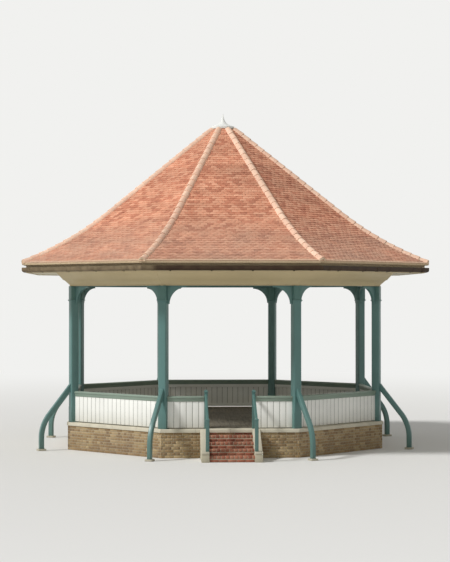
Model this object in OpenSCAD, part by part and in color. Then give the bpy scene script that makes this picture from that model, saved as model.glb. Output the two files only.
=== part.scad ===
// Octagonal park bandstand: a raised brick base, eight timber posts with curved
// outer struts, boarded balustrades and a bell-cast roof of plain clay tiles.
// Millimetres, +Z up, origin on the ground at the centre of the plan. The steps face -Y.

/* [Plan] */
// Radius from the centre of the plan to the centre of each post
post_circle = 4500; // [4400:50:4600]

/* [Base] */
// Height of the floor above the ground
floor_h = 750; // [650:10:850]
// How far the brick face stands outside the line of the posts
base_out = 150; // [145:5:180]
// Depth of the stone edge round the floor
edge_t = 90; // [60:5:120]
// Width of the stone edge round the floor
edge_w = 320; // [300:10:400]
// How far the stone edge overhangs the bricks
edge_over = 30; // [10:5:45]
// Thickness of the floor boards
deck_t = 40; // [25:5:60]

/* [Steps] */
// Clear width of the steps
step_w = 1150; // [1000:50:1300]
// Depth of each tread
tread_d = 280; // [250:5:290]
// Thickness of the wall at each side of the steps
cheek_w = 200; // [180:10:240]
// Length of the level pier at the foot of each side wall
pier_d = 240; // [200:10:300]
// How far each side wall runs out past the lowest step
cheek_over = 50; // [20:5:80]
// How far the cap stands out over the end of its wall
cap_over = 15; // [5:5:25]
// Thickness of the stone cap on each side wall
cap_t = 60; // [40:5:80]
// Width of the square newels
newel_w = 90; // [80:5:110]
// Height of the cap on each newel
newel_cap = 60; // [40:5:80]
// How far the newel caps stand out over their newels
newel_over = 10; // [5:1:20]
// Height of the handrail above the slope of the steps
handrail_h = 950; // [850:10:1000]
// Depth of the sloping handrail
handrail_t = 70; // [50:5:90]

/* [Posts] */
// Width of the square posts
post_w = 220; // [200:5:230]
// Chamfer along each edge of a post
post_chamfer = 24; // [10:2:30]
// Length of post left square at its foot and head
post_square = 420; // [300:10:500]
// How far the neck moulding stands out from a post
neck_out = 16; // [8:1:20]

/* [Struts] */
// How far the foot of a strut stands out from its post
strut_run = 880; // [840:10:940]
// Height above the floor at which a strut meets its post
strut_top = 1050; // [950:10:1150]
// Slope of the straight upper part of a strut
strut_pitch = 51; // [48:1:54]
// Radius of the outer edge where a strut bends upright
strut_bend = 1050; // [950:10:1100]
// Depth of a strut in its own plane
strut_d = 130; // [100:5:160]
// Thickness of a strut across its plane
strut_w = 100; // [80:5:130]
// How far the pad stands out round the foot of a strut
pad_over = 45; // [30:5:70]
// Thickness of the stone pad under each strut
pad_t = 50; // [30:5:80]

/* [Balustrade] */
// Height of the top rail above the floor
rail_h = 845; // [800:5:950]
// Thickness of the top rail
rail_t = 60; // [45:5:80]
// Width of the top rail
rail_w = 130; // [110:5:150]
// Height of the beam under the top rail
rail_beam_h = 80; // [60:5:100]
// Width of the beam under the top rail
rail_beam_w = 100; // [90:5:110]
// Thickness of the upright boards
board_t = 24; // [18:1:30]
// Width of one upright board
board_w = 160; // [120:10:200]
// Depth of the V between two boards
board_vee = 7; // [4:1:9]
// How far the face of the boards stands outside the line of the posts
panel_out = 35; // [28:1:45]
// Thickness of the rails behind the boards
panel_rail_t = 45; // [35:5:60]
// Height of the rails behind the boards
panel_rail_h = 90; // [70:5:120]
// Gap between the boards and the stone edge
board_gap = 25; // [15:5:40]

/* [Beam and cornice] */
// Height of the underside of the beam above the floor
beam_h = 3710; // [3500:10:3900]
// Width of the beam
beam_w = 170; // [150:5:190]
// Height of the splayed cornice
cornice_h = 370; // [330:5:400]
// How far the cornice spreads outward
cornice_out = 365; // [320:5:400]
// Thickness of the two cornice boards
cornice_t = 26; // [20:1:32]
// How far the upper cornice board laps over the lower one
cornice_lap = 16; // [10:1:22]
// Size of the bead at the foot of the cornice
cornice_bead = 22; // [16:1:30]
// Radius of the curved brackets under the beam
bracket_r = 480; // [400:10:560]
// Depth of the curved brackets at their thinnest
bracket_tail = 40; // [30:5:60]
// Thickness of the curved brackets
bracket_w = 80; // [60:5:100]
// Thickness of the soffit and ceiling boards
lining_t = 20; // [16:1:25]
// Width of the ribs below the ceiling
rib_w = 70; // [50:5:90]
// Depth of the ribs below the ceiling
rib_t = 30; // [20:2:40]
// Radius of the turned boss in the middle of the ceiling
boss_r = 260; // [200:10:320]
// Depth of the turned boss below the ribs
boss_h = 200; // [140:10:260]

/* [Roof] */
// How far the middle of each eave stands outside the line of the posts
eave_out = 1385; // [1330:5:1430]
// Height of the tile edge at the eave above the underside of the beam
eave_rise = 600; // [570:5:630]
// Slope of the tiles at the eave
eave_pitch = 22; // [21:0.5:23]
// Slope of the straight upper part of the roof
roof_pitch = 40.3; // [39:0.1:41]
// Radius of the curve that joins the two slopes
bell_r = 8600; // [8000:50:9000]
// Thickness of tiles, battens and boards together
roof_t = 110; // [90:5:120]
// Thickness of the doubled tiles where they overhang
tile_edge = 40; // [30:2:50]
// Half width of the hip tiles
hip_w = 98; // [86:2:110]
// Height of the mortar along each side of the hip tiles
hip_edge = 14; // [8:2:20]
// Height of the hip tiles above the roof
hip_h = 78; // [60:2:90]
// Width of the gutter
gutter_w = 115; // [100:5:125]
// Depth of the gutter
gutter_d = 125; // [110:5:135]
// Thickness of the gutter's wall
gutter_t = 6; // [4:1:8]
// Width of the round bead along the gutter's lip
gutter_bead = 18; // [14:2:22]
// Height of the tiles' edge above the lip of the gutter
gutter_drop = 60; // [50:5:80]
// How far the gutter's lip stands back from the edge of the tiles
gutter_back = 10; // [0:5:25]
// Thickness of the fascia board
fascia_t = 25; // [20:1:35]

/* [Frame above the ceiling] */
// Depth of the tie beams
tie_d = 140; // [120:5:160]
// Width of the tie beams and of the hip rafters
tie_w = 90; // [70:5:110]
// Depth of the hip rafters
rafter_d = 170; // [140:5:200]

/* [Finial] */
// Distance from the centre to each side of the lead cap
cap_flat = 340; // [320:10:400]
// Height of the lead cap's edge above the tiles
cap_edge = 88; // [80:2:110]
// Height of the spike above the lead cap
spike_h = 240; // [200:10:300]
// How far the top of the lead cap stands out round the foot of the spike
spike_out = 30; // [20:5:45]
// Radius of the spike at its tip
spike_tip = 6; // [4:1:9]
// Radius of the spike at its foot
spike_r = 120; // [90:5:130]

/* [Hidden] */

// The plan has eight sides. Half of one side's angle gives every mitre.
sides = 8;
half = 180 / sides;
mitre_cos = cos(half);
mitre_sin = sin(half);
mitre_tan = tan(half);
// Clearance between pieces that seat on each other, and the saw cut at a mitre
seat = 0.3;
saw_cut = 1;
stone_joint = 6;

post_flat = post_circle * mitre_cos;
eave_flat = post_flat + eave_out;
reach = eave_flat + post_flat;
base_flat = post_flat + base_out;
edge_flat = base_flat + edge_over;
edge_in = edge_flat - edge_w;
edge_z = floor_h - edge_t;

// Number of brick steps below the floor
step_n = 4;
riser = floor_h / (step_n + 1);
step_slope = riser / tread_d;
flight_d = step_n * tread_d;
cheek_d = flight_d + cheek_over;
cap_run = cheek_d - pier_d - edge_over;
cap_low_z = floor_h - cap_run * step_slope;
newel_x = step_w / 2 + newel_w / 2;
newel_foot_y = -(base_flat + cheek_d - pier_d / 2);
newel_top_y = -post_flat;
handrail_top_z = floor_h + handrail_h;
handrail_low_z = handrail_top_z + (newel_foot_y - newel_top_y) * step_slope;
// The handrail stands back this far from each face of its newels
rail_inset = 10;

board_top = floor_h + rail_h - rail_t - rail_beam_h;
beam_z = floor_h + beam_h;
soffit_z = beam_z + cornice_h;
beam_top = soffit_z + lining_t;
beam_out = post_flat + beam_w / 2;
beam_in = post_flat - beam_w / 2;
bay_half = post_flat * mitre_tan - post_w / 2 / mitre_cos;

eave_z = beam_z + eave_rise;
bell_x = eave_flat + bell_r * sin(eave_pitch);
bell_z = eave_z + bell_r * cos(eave_pitch);
bell_steps = 16;
fascia_out = eave_flat - gutter_back - gutter_w;
fascia_in = fascia_out - fascia_t;
gutter_top = roof_at(eave_flat, tile_edge) - gutter_drop;
tie_top = beam_top + tie_d;
// The ties and rafters stop this far inside the fascia
frame_back = 160;
// The king post has a flat for each tie, and the roof leaves a hole for its top
king_gap = 5;
king_flat = (tie_w / 2 + king_gap) / mitre_tan;
hole_flat = king_flat / mitre_cos + king_gap;
// The hip rafters stop this far below the roof boards
rafter_gap = 1;

// Height of the surface that lies this deep under the tiles, at a distance from the centre
function roof_at(flat, depth) =
    let (r = bell_r + depth, flat_b = bell_x - r * sin(roof_pitch))
    flat >= flat_b
        ? bell_z - sqrt(r * r - (bell_x - flat) * (bell_x - flat))
        : bell_z - r * cos(roof_pitch) + (flat_b - flat) * tan(roof_pitch);

// Point on the curved part of that surface where it slopes at the given pitch
function bell_point(pitch, depth) =
    [bell_x - (bell_r + depth) * sin(pitch), bell_z - (bell_r + depth) * cos(pitch)];

// Points of an arc from one angle to another
function arc(cx, cy, r, from, to, steps) =
    [for (i = [0:steps]) let (a = from + (to - from) * i / steps) [cx + r * cos(a), cy + r * sin(a)]];

function turned(list) = [for (i = [len(list) - 1:-1:0]) list[i]];

// Turns a child drawn along +X to face the middle of a side. Side 0 is the front.
module at_side(k) {
    rotate([0, 0, -90 + 2 * half * k]) children();
}

// Turns a child drawn along +X to a corner. Corner 0 is the right-hand one of the front.
module at_corner(k) {
    rotate([0, 0, -90 + half + 2 * half * k]) children();
}

// The sector of one side, with both its mitre planes drawn in by half the gap
module sector(gap) {
    tip = gap / 2 / mitre_sin;
    translate([0, 0, -reach])
        linear_extrude(height = 3 * reach)
            polygon([[tip, 0], [tip + reach, reach * mitre_tan], [tip + reach, -reach * mitre_tan]]);
}

// A profile of distance and height, run along one side between its mitres
module side_run(profile, gap) {
    intersection() {
        rotate([90, 0, 0])
            linear_extrude(height = reach, center = true)
                polygon(profile);
        sector(gap);
    }
}

// The same profile on all eight sides
module ring(profile, gap) {
    for (k = [0:sides - 1])
        at_side(k) side_run(profile, gap);
}

module octagon(flat, z, h) {
    translate([0, 0, z])
        rotate([0, 0, half])
            cylinder(h = h, r = flat / mitre_cos, $fn = sides);
}

module base() {
    color("#AE9872") {
        octagon(base_flat, 0, edge_z);
        octagon(edge_in - seat, 0, floor_h - deck_t);
    }
}

module stone_edge() {
    nose = edge_t / 4;
    color("#CFC8B4")
        ring([
            [edge_in, edge_z], [edge_flat, edge_z], [edge_flat, floor_h - nose],
            [edge_flat - nose / 3, floor_h - nose / 3], [edge_flat - nose, floor_h], [edge_in, floor_h]
        ], stone_joint);
}

module floor_deck() {
    color("#A79E8C")
        octagon(edge_in - seat, floor_h - deck_t, deck_t);
}

module step(k) {
    depth = (step_n + 1 - k) * tread_d;
    color("#9C5F48")
        translate([-step_w / 2, -(base_flat + depth), (k - 1) * riser])
            cube([step_w, depth, riser]);
}

// Side view of a side wall: level pier at the foot, then up the slope to the stone edge
module cheeks() {
    cap_z = cap_low_z - cap_t;
    color("#C9BFA6")
        for (side = [-1, 1])
            translate([side * (step_w / 2 + cheek_w / 2), -base_flat, 0])
                rotate([90, 0, -90])
                    linear_extrude(height = cheek_w, center = true)
                        polygon([
                            [0, 0], [cheek_d, 0], [cheek_d, cap_z], [cheek_d - pier_d, cap_z],
                            [edge_over, floor_h - cap_t], [edge_over, edge_z], [0, edge_z]
                        ]);
}

module cheek_caps() {
    color("#CFC8B4")
        for (side = [-1, 1])
            translate([side * (step_w / 2 + cheek_w / 2), -base_flat, 0])
                rotate([90, 0, -90])
                    linear_extrude(height = cheek_w, center = true)
                        polygon([
                            [edge_over, floor_h - cap_t], [cheek_d - pier_d, cap_low_z - cap_t],
                            [cheek_d + cap_over, cap_low_z - cap_t], [cheek_d + cap_over, cap_low_z],
                            [cheek_d - pier_d, cap_low_z], [edge_over, floor_h]
                        ]);
}

module newel(foot_z, top_z) {
    shaft = top_z - foot_z - newel_cap;
    translate([-newel_w / 2, -newel_w / 2, foot_z])
        cube([newel_w, newel_w, shaft]);
    translate([0, 0, foot_z + shaft])
        rotate([0, 0, 45])
            cylinder(h = newel_cap / 3, r = (newel_w + 2 * newel_over) / sqrt(2), $fn = 4);
    translate([0, 0, foot_z + shaft + newel_cap / 3])
        rotate([0, 0, 45])
            cylinder(h = newel_cap * 2 / 3, r1 = (newel_w + newel_over / 2) / sqrt(2), r2 = newel_w / 8, $fn = 4);
}

module newels() {
    color("#3F7F73")
        for (side = [-1, 1]) {
            translate([side * newel_x, newel_top_y, 0])
                newel(floor_h, handrail_top_z + newel_cap);
            translate([side * newel_x, newel_foot_y, 0])
                newel(cap_low_z, handrail_low_z + newel_cap);
        }
}

module handrails() {
    color("#3F7F73")
        for (side = [-1, 1])
            translate([side * newel_x, 0, 0])
                rotate([90, 0, 90])
                    linear_extrude(height = newel_w - 2 * rail_inset, center = true)
                        polygon([
                            [newel_top_y - newel_w / 2, handrail_top_z - newel_w / 2 * step_slope - newel_cap / 2],
                            [newel_foot_y + newel_w / 2, handrail_low_z + newel_w / 2 * step_slope - newel_cap / 2],
                            [newel_foot_y + newel_w / 2,
                                handrail_low_z + newel_w / 2 * step_slope - newel_cap / 2 - handrail_t],
                            [newel_top_y - newel_w / 2,
                                handrail_top_z - newel_w / 2 * step_slope - newel_cap / 2 - handrail_t]
                        ]);
}

// A square post with chamfered edges between its foot and head, and a neck moulding
module post(k) {
    length = beam_z - floor_h;
    neck_z = length - post_square + neck_out;
    color("#3F7F73")
        at_corner(k)
            translate([post_circle, 0, floor_h]) {
                difference() {
                    translate([-post_w / 2, -post_w / 2, 0])
                        cube([post_w, post_w, length]);
                    for (a = [45:90:315])
                        rotate([0, 0, a])
                            translate([post_w / sqrt(2) - post_chamfer / sqrt(2), -post_w, post_square])
                                cube([post_w, 2 * post_w, length - 2 * post_square]);
                }
                translate([-post_w / 2 - neck_out, -post_w / 2 - neck_out, neck_z])
                    cube([post_w + 2 * neck_out, post_w + 2 * neck_out, 2 * neck_out]);
            }
}

// A strut rises straight from its pad, curves inward and rakes up to its post
module strut() {
    face = post_circle + post_w / 2 + seat;
    foot = post_circle + post_w / 2 + strut_run;
    top_z = floor_h + strut_top;
    turn = 90 - strut_pitch;
    curve_x = foot - strut_bend;
    curve_end_x = curve_x + strut_bend * cos(turn);
    curve_end_z = top_z - (curve_end_x - face) * tan(strut_pitch);
    curve_z = curve_end_z - strut_bend * sin(turn);
    inner_z = top_z - strut_d / cos(strut_pitch);
    rotate([90, 0, 0])
        linear_extrude(height = strut_w, center = true)
            polygon(concat(
                [[foot - strut_d, pad_t], [foot, pad_t]],
                arc(curve_x, curve_z, strut_bend, 0, turn, 12),
                [[face, top_z], [face, inner_z]],
                turned(arc(curve_x, curve_z, strut_bend - strut_d, 0, turn, 12))
            ));
}

module struts() {
    color("#3F7F73")
        for (k = [0:sides - 1])
            at_corner(k) strut();
}

module strut_pads() {
    color("#CFC8B4")
        for (k = [0:sides - 1])
            at_corner(k)
                translate([
                    post_circle + post_w / 2 + strut_run - strut_d - pad_over,
                    -strut_w / 2 - pad_over, 0
                ])
                    cube([strut_d + 2 * pad_over, strut_w + 2 * pad_over, pad_t]);
}

// Upright boards on a bottom rail and an upper rail, with a V between each two boards
module panel_side() {
    board_out = post_flat + panel_out;
    back_x = board_out - board_t;
    rail_x = back_x - panel_rail_t;
    board_z = floor_h + board_gap;
    low_rail_z = board_z + panel_rail_h;
    high_rail_z = board_top - panel_rail_h;
    half_run = board_out * mitre_tan - (post_w / 2 + seat) / mitre_cos;
    boards = round(2 * half_run / board_w);
    pitch = 2 * half_run / boards;
    vee_z = board_z - board_vee;
    vee_h = board_top - board_z + 2 * board_vee;
    difference() {
        side_run([
            [rail_x, board_z], [board_out, board_z], [board_out, board_top], [rail_x, board_top],
            [rail_x, high_rail_z], [back_x, high_rail_z], [back_x, low_rail_z], [rail_x, low_rail_z]
        ], post_w + 2 * seat);
        for (i = [1:boards - 1])
            translate([board_out, -half_run + i * pitch, vee_z])
                rotate([0, 0, 45])
                    translate([-board_vee / sqrt(2), -board_vee / sqrt(2), 0])
                        cube([board_vee * sqrt(2), board_vee * sqrt(2), vee_h]);
    }
}

module panel(k) {
    color("#F2F2EC")
        at_side(k) panel_side();
}

module entrance_gap() {
    gap = 2 * newel_x + newel_w + 2 * seat;
    translate([0, -gap / 2, 0])
        cube([reach, gap, reach]);
}

module panel_front() {
    color("#F2F2EC")
        at_side(0)
            difference() {
                panel_side();
                entrance_gap();
            }
}

// An eased rail on a narrower beam, which runs along the heads of the boards
module top_rails() {
    low = floor_h + rail_h - rail_t;
    top = floor_h + rail_h;
    ease = rail_t / 3;
    profile = [
        [post_flat - rail_beam_w / 2, board_top], [post_flat + rail_beam_w / 2, board_top],
        [post_flat + rail_beam_w / 2, low], [post_flat + rail_w / 2, low],
        [post_flat + rail_w / 2, top - ease], [post_flat + rail_w / 2 - ease, top],
        [post_flat - rail_w / 2 + ease, top], [post_flat - rail_w / 2, top - ease],
        [post_flat - rail_w / 2, low], [post_flat - rail_beam_w / 2, low]
    ];
    color("#87988A") {
        for (k = [1:sides - 1])
            at_side(k) side_run(profile, post_w + 2 * seat);
        at_side(0)
            difference() {
                side_run(profile, post_w + 2 * seat);
                entrance_gap();
            }
    }
}

module ring_beam() {
    color("#3F7F73")
        ring([[beam_in, beam_z], [beam_out, beam_z], [beam_out, beam_top], [beam_in, beam_top]], saw_cut);
}

// Curved brackets that fill the corner between each post and the beam
module bracket_side() {
    far = bay_half - bracket_r;
    intersection() {
        translate([post_flat, 0, beam_z])
            rotate([90, 0, 90])
                linear_extrude(height = bracket_w, center = true)
                    for (side = [-1, 1])
                        scale([side, 1])
                            difference() {
                                translate([far, -bracket_r])
                                    square([bracket_r + post_w, bracket_r]);
                                translate([far, -bracket_r])
                                    circle(r = bracket_r - bracket_tail, $fn = 96);
                                translate([far - bracket_tail, -bracket_r - bracket_tail])
                                    square([bracket_tail, bracket_r + bracket_tail]);
                            }
        sector(post_w + 2 * seat);
    }
}

module brackets() {
    color("#3F7F73")
        for (k = [0:sides - 1])
            at_side(k) bracket_side();
}

// Two splayed boards, the upper one lapping over the lower one, with a bead at the foot
module cornice() {
    lower_part = 0.46;
    foot_x = beam_out + cornice_bead;
    mid_x = foot_x + (cornice_out - cornice_bead) * lower_part;
    mid_z = beam_z + cornice_h * lower_part;
    head_x = beam_out + cornice_out;
    color("#D5C9A5")
        ring([
            [beam_out, beam_z], [foot_x, beam_z],
            [foot_x + cornice_bead / 4, beam_z + cornice_bead], [foot_x, beam_z + cornice_bead * 5 / 4],
            [mid_x, mid_z], [mid_x + cornice_lap, mid_z - cornice_lap / 2],
            [head_x + cornice_lap, soffit_z], [head_x - cornice_t, soffit_z],
            [beam_out, beam_z + cornice_t + cornice_bead]
        ], saw_cut);
}

module soffit() {
    color("#D5C9A5")
        ring([
            [beam_out, soffit_z], [fascia_in, soffit_z], [fascia_in, beam_top], [beam_out, beam_top]
        ], saw_cut);
}

module fascia() {
    low = soffit_z - lining_t;
    color("#D5C9A5")
        ring([
            [fascia_in, low], [fascia_out, low],
            [fascia_out, roof_at(fascia_out, roof_t) - seat], [fascia_in, roof_at(fascia_out, roof_t) - seat]
        ], saw_cut);
}

// An open trough with an upright back, a round bottom and a bead along its lip
module gutter() {
    r = gutter_w / 2;
    cx = fascia_out + r;
    cz = gutter_top - gutter_d + r;
    bead = gutter_bead / 2;
    bead_end = 360 - acos((bead - gutter_t) / bead);
    color("#4A3226")
        ring(concat(
            [[cx - r, gutter_top]],
            arc(cx, cz, r, 180, 360, 16),
            arc(cx + r - bead, gutter_top - bead, bead, 0, bead_end, 10),
            arc(cx, cz, r - gutter_t, 360, 180, 16),
            [[cx - r + gutter_t, gutter_top]]
        ), saw_cut);
}

module ceiling() {
    color("#DDD3B4")
        octagon(beam_in - seat, beam_top - lining_t, lining_t);
}

// Ribs below the ceiling run to a turned boss in the middle
module ceiling_ribs() {
    low = beam_top - lining_t - rib_t;
    color("#3F7F73") {
        for (k = [0:sides - 1])
            at_corner(k)
                translate([0, -rib_w / 2, low])
                    cube([(beam_in - seat) / mitre_cos - rib_w / 2 * mitre_tan, rib_w, rib_t]);
        rotate_extrude($fn = 96)
            polygon([
                [0, low + rib_t], [boss_r, low + rib_t], [boss_r, low - boss_h * 0.05],
                [boss_r * 0.87, low - boss_h * 0.12], [boss_r * 0.8, low - boss_h * 0.3],
                [boss_r * 0.35, low - boss_h * 0.4], [boss_r * 0.27, low - boss_h * 0.75],
                [boss_r * 0.15, low - boss_h * 0.95], [0, low - boss_h]
            ]);
    }
}

// Ties run over the beam from the king post to the eaves
module tie_beams() {
    near = king_flat + seat;
    far = (fascia_in - frame_back) / mitre_cos;
    color("#B79A6C")
        for (k = [0:sides - 1])
            at_corner(k)
                translate([near, -tie_w / 2, beam_top])
                    cube([far - near, tie_w, tie_d]);
}

module king_post() {
    color("#B79A6C")
        translate([0, 0, beam_top])
            cylinder(h = roof_at(hole_flat, 0) - beam_top, r = king_flat / mitre_cos, $fn = sides);
}

// Rafters under the hips, cut level where they stand on the ties
module hip_rafters() {
    hip_fall = tie_w / 2 * mitre_sin;
    near = (king_flat + seat) * mitre_cos;
    far = fascia_in - frame_back;
    steps = 24;
    flats = [for (i = [0:steps]) near + (far - near) * i / steps];
    color("#B79A6C")
        for (k = [0:sides - 1])
            at_corner(k)
                intersection() {
                    rotate([90, 0, 0])
                        linear_extrude(height = tie_w, center = true)
                            polygon(concat(
                                [for (f = flats) [f / mitre_cos, roof_at(f + hip_fall, roof_t) - rafter_gap]],
                                [for (f = turned(flats)) [f / mitre_cos, roof_at(f, roof_t + rafter_d)]]
                            ));
                    translate([0, -reach / 2, tie_top])
                        cube([reach, reach, reach]);
                }
}

// One side of the roof: a straight upper slope that eases into a flatter curve at the eave
module roof_face(k) {
    pitches = [for (i = [0:bell_steps]) eave_pitch + (roof_pitch - eave_pitch) * i / bell_steps];
    under = [for (p = pitches) let (q = bell_point(p, roof_t)) if (q.x < fascia_out - seat) q];
    color("#BE7A62")
        at_side(k)
            side_run(concat(
                [for (p = pitches) bell_point(p, 0)],
                [[hole_flat, roof_at(hole_flat, 0)], [hole_flat, roof_at(hole_flat, roof_t)]],
                turned(under),
                [[fascia_out, roof_at(fascia_out, roof_t)], [fascia_out, roof_at(fascia_out, tile_edge)]],
                [bell_point(eave_pitch, tile_edge)]
            ), 0);
}

// A round-backed run of hip tiles. Each cross ring follows the two eaves, so its
// underside lies on both slopes.
module hip_run() {
    across = 8;
    flats = concat(
        [for (i = [0:bell_steps])
            bell_point(eave_pitch + (roof_pitch - eave_pitch) * i / bell_steps, 0).x],
        [cap_flat + seat]
    );
    upper = [for (j = [0:across]) let (a = 180 * j / across)
        [-hip_w * cos(a), hip_edge + (hip_h - hip_edge) * sin(a)]];
    section = concat(upper, [[hip_w, seat], [0, seat], [-hip_w, seat]]);
    count = len(section);
    points = [for (f = flats, p = section)
        [(f - abs(p.x) * mitre_sin) / mitre_cos, p.x, roof_at(f, 0) + p.y]];
    last = len(flats) - 1;
    polyhedron(points = points, faces = concat(
        [[for (j = [0:count - 1]) j]],
        [[for (j = [count - 1:-1:0]) last * count + j]],
        [for (i = [0:last - 1], j = [0:count - 1])
            [i * count + j, (i + 1) * count + j, (i + 1) * count + (j + 1) % count]],
        [for (i = [0:last - 1], j = [0:count - 1])
            [i * count + j, (i + 1) * count + (j + 1) % count, i * count + (j + 1) % count]]
    ));
}

module hip_tiles() {
    color("#DDB094")
        for (k = [0:sides - 1])
            at_corner(k) hip_run();
}

// A convex shape of eight flats. Its profile gives the distance to a flat at each height.
module eight_flats(profile) {
    intersection_for (k = [0:sides / 2 - 1])
        rotate([90, 0, 2 * half * k])
            linear_extrude(height = reach, center = true)
                polygon(concat(profile, [for (p = turned(profile)) [-p.x, p.y]]));
}

cap_foot_z = roof_at(cap_flat, 0) + seat;
cap_top_z = roof_at(spike_r, 0) + cap_edge * 0.7;

// Lead dressed over the ends of the hips, on the top of the roof
module lead_cap() {
    color("#E6E8E6")
        difference() {
            eight_flats([
                [cap_flat, cap_foot_z - cap_edge], [cap_flat, cap_foot_z + cap_edge],
                [spike_r + spike_out, cap_top_z]
            ]);
            eight_flats([
                [2 * cap_flat, cap_foot_z - cap_flat * tan(roof_pitch)],
                [hole_flat, roof_at(hole_flat, 0) + seat]
            ]);
        }
}

// A spike that sweeps up from a wide foot
module finial() {
    steps = 14;
    color("#F4F5F3")
        translate([0, 0, cap_top_z])
            rotate_extrude($fn = 64)
                polygon(concat(
                    [[0, 0]],
                    [for (i = [0:steps]) let (u = i / steps)
                        [spike_tip + (spike_r - spike_tip) * pow(1 - u, 2.6), spike_h * u]],
                    [[0, spike_h + spike_tip]]
                ));
}

base();
stone_edge();
floor_deck();
step(1);  // step_1
step(2);  // step_2
step(3);  // step_3
step(4);  // step_4
cheeks();
cheek_caps();
newels();
handrails();
post(0);  // post_1
post(1);  // post_2
post(2);  // post_3
post(3);  // post_4
post(4);  // post_5
post(5);  // post_6
post(6);  // post_7
post(7);  // post_8
struts();
strut_pads();
panel_front();
panel(1);  // panel_1
panel(2);  // panel_2
panel(3);  // panel_3
panel(4);  // panel_4
panel(5);  // panel_5
panel(6);  // panel_6
panel(7);  // panel_7
top_rails();
ring_beam();
brackets();
cornice();
soffit();
fascia();
gutter();
ceiling();
ceiling_ribs();
tie_beams();
king_post();
hip_rafters();
roof_face(0);  // roof_face_1
roof_face(1);  // roof_face_2
roof_face(2);  // roof_face_3
roof_face(3);  // roof_face_4
roof_face(4);  // roof_face_5
roof_face(5);  // roof_face_6
roof_face(6);  // roof_face_7
roof_face(7);  // roof_face_8
hip_tiles();
lead_cap();
finial();
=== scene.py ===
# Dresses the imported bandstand: plain tiles, hips, bricks, boards, stones, paint and small fixings.
# Metres, +Z up, the steps face -Y. A side is drawn with +X pointing out and is then turned into place.
import math
import bmesh
import bpy
from mathutils import Matrix, Vector


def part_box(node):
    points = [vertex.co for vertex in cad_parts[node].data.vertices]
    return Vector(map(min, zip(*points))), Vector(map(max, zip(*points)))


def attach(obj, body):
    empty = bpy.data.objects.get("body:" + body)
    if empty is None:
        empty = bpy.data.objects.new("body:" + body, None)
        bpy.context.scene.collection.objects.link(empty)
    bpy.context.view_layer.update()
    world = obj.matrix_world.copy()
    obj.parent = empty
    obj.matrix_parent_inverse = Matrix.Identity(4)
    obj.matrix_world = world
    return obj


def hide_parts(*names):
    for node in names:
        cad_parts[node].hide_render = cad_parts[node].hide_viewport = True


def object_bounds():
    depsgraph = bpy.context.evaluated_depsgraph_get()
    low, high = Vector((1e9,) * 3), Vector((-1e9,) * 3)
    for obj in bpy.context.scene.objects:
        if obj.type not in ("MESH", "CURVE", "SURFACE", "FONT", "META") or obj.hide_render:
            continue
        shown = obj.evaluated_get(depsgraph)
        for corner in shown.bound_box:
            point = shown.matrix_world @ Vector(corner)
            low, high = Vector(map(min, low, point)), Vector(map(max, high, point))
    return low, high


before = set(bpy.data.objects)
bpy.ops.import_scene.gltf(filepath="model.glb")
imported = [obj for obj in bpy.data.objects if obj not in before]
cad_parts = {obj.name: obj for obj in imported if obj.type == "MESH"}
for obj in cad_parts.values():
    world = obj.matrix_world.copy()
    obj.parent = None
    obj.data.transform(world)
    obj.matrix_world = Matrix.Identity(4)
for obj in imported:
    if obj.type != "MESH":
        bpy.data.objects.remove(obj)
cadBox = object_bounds()

scene = bpy.context.scene
scene.view_settings.view_transform = "Standard"

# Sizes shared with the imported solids
plan = {
    "sides": 8,
    "postCircle": 4.5,
    "postWidth": 0.22,
    "floorZ": 0.75,
    "baseOut": 0.15,      # brick face outside the line of the posts
    "edgeThick": 0.09,
    "edgeWidth": 0.32,
    "edgeOver": 0.03,
    "stepWidth": 1.15,
    "treadDepth": 0.28,
    "steps": 4,
    "beamZ": 4.46,
    "beamWidth": 0.17,
    "corniceHeight": 0.37,
    "fasciaThick": 0.025,
    "roofThick": 0.11,
    "tileEdge": 0.04,
    "seat": 0.0003,       # between a fitted piece and what holds it
}
halfAngle = math.pi / plan["sides"]
mitreTan = math.tan(halfAngle)
mitreCos = math.cos(halfAngle)
mitreSin = math.sin(halfAngle)
sideTurns = [-math.pi / 2 + 2 * halfAngle * k for k in range(plan["sides"])]
cornerTurns = [turn + halfAngle for turn in sideTurns]
postFlat = plan["postCircle"] * mitreCos
baseFlat = postFlat + plan["baseOut"]
edgeFlat = baseFlat + plan["edgeOver"]
edgeZ = plan["floorZ"] - plan["edgeThick"]
soffitZ = plan["beamZ"] + plan["corniceHeight"]

# The slope of the tiles: a curve at the eave that eases into a straight upper part
slope = {
    "eaveOut": 1.385,      # eave outside the line of the posts
    "eaveZ": 5.06,
    "eavePitch": math.radians(22),
    "roofPitch": math.radians(40.3),
    "bellRadius": 8.6,
    "capFlat": 0.31,       # where the tiles meet the lead, from the middle of the roof
    "innerFlat": 0.17,
    "points": 60,
}
eaveFlat = postFlat + slope["eaveOut"]
bellX = eaveFlat + slope["bellRadius"] * math.sin(slope["eavePitch"])
bellZ = slope["eaveZ"] + slope["bellRadius"] * math.cos(slope["eavePitch"])
gutter = {"width": 0.115, "depth": 0.125, "bead": 0.018, "drop": 0.06, "back": 0.01}
fasciaOut = eaveFlat - gutter["back"] - gutter["width"]
fasciaIn = fasciaOut - plan["fasciaThick"]


def roofAt(flat, depth=0.0):
    radius = slope["bellRadius"] + depth
    bend = bellX - radius * math.sin(slope["roofPitch"])
    if flat >= bend:
        return bellZ - math.sqrt(radius * radius - (bellX - flat) ** 2)
    return bellZ - radius * math.cos(slope["roofPitch"]) + (bend - flat) * math.tan(slope["roofPitch"])


def spaced(low, high, count):
    return [low + (high - low) * i / count for i in range(count + 1)]


def lineLength(points):
    return sum(math.dist(a, b) for a, b in zip(points, points[1:]))


roofLine = [(flat, roofAt(flat)) for flat in spaced(eaveFlat, slope["capFlat"], slope["points"])]


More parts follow.
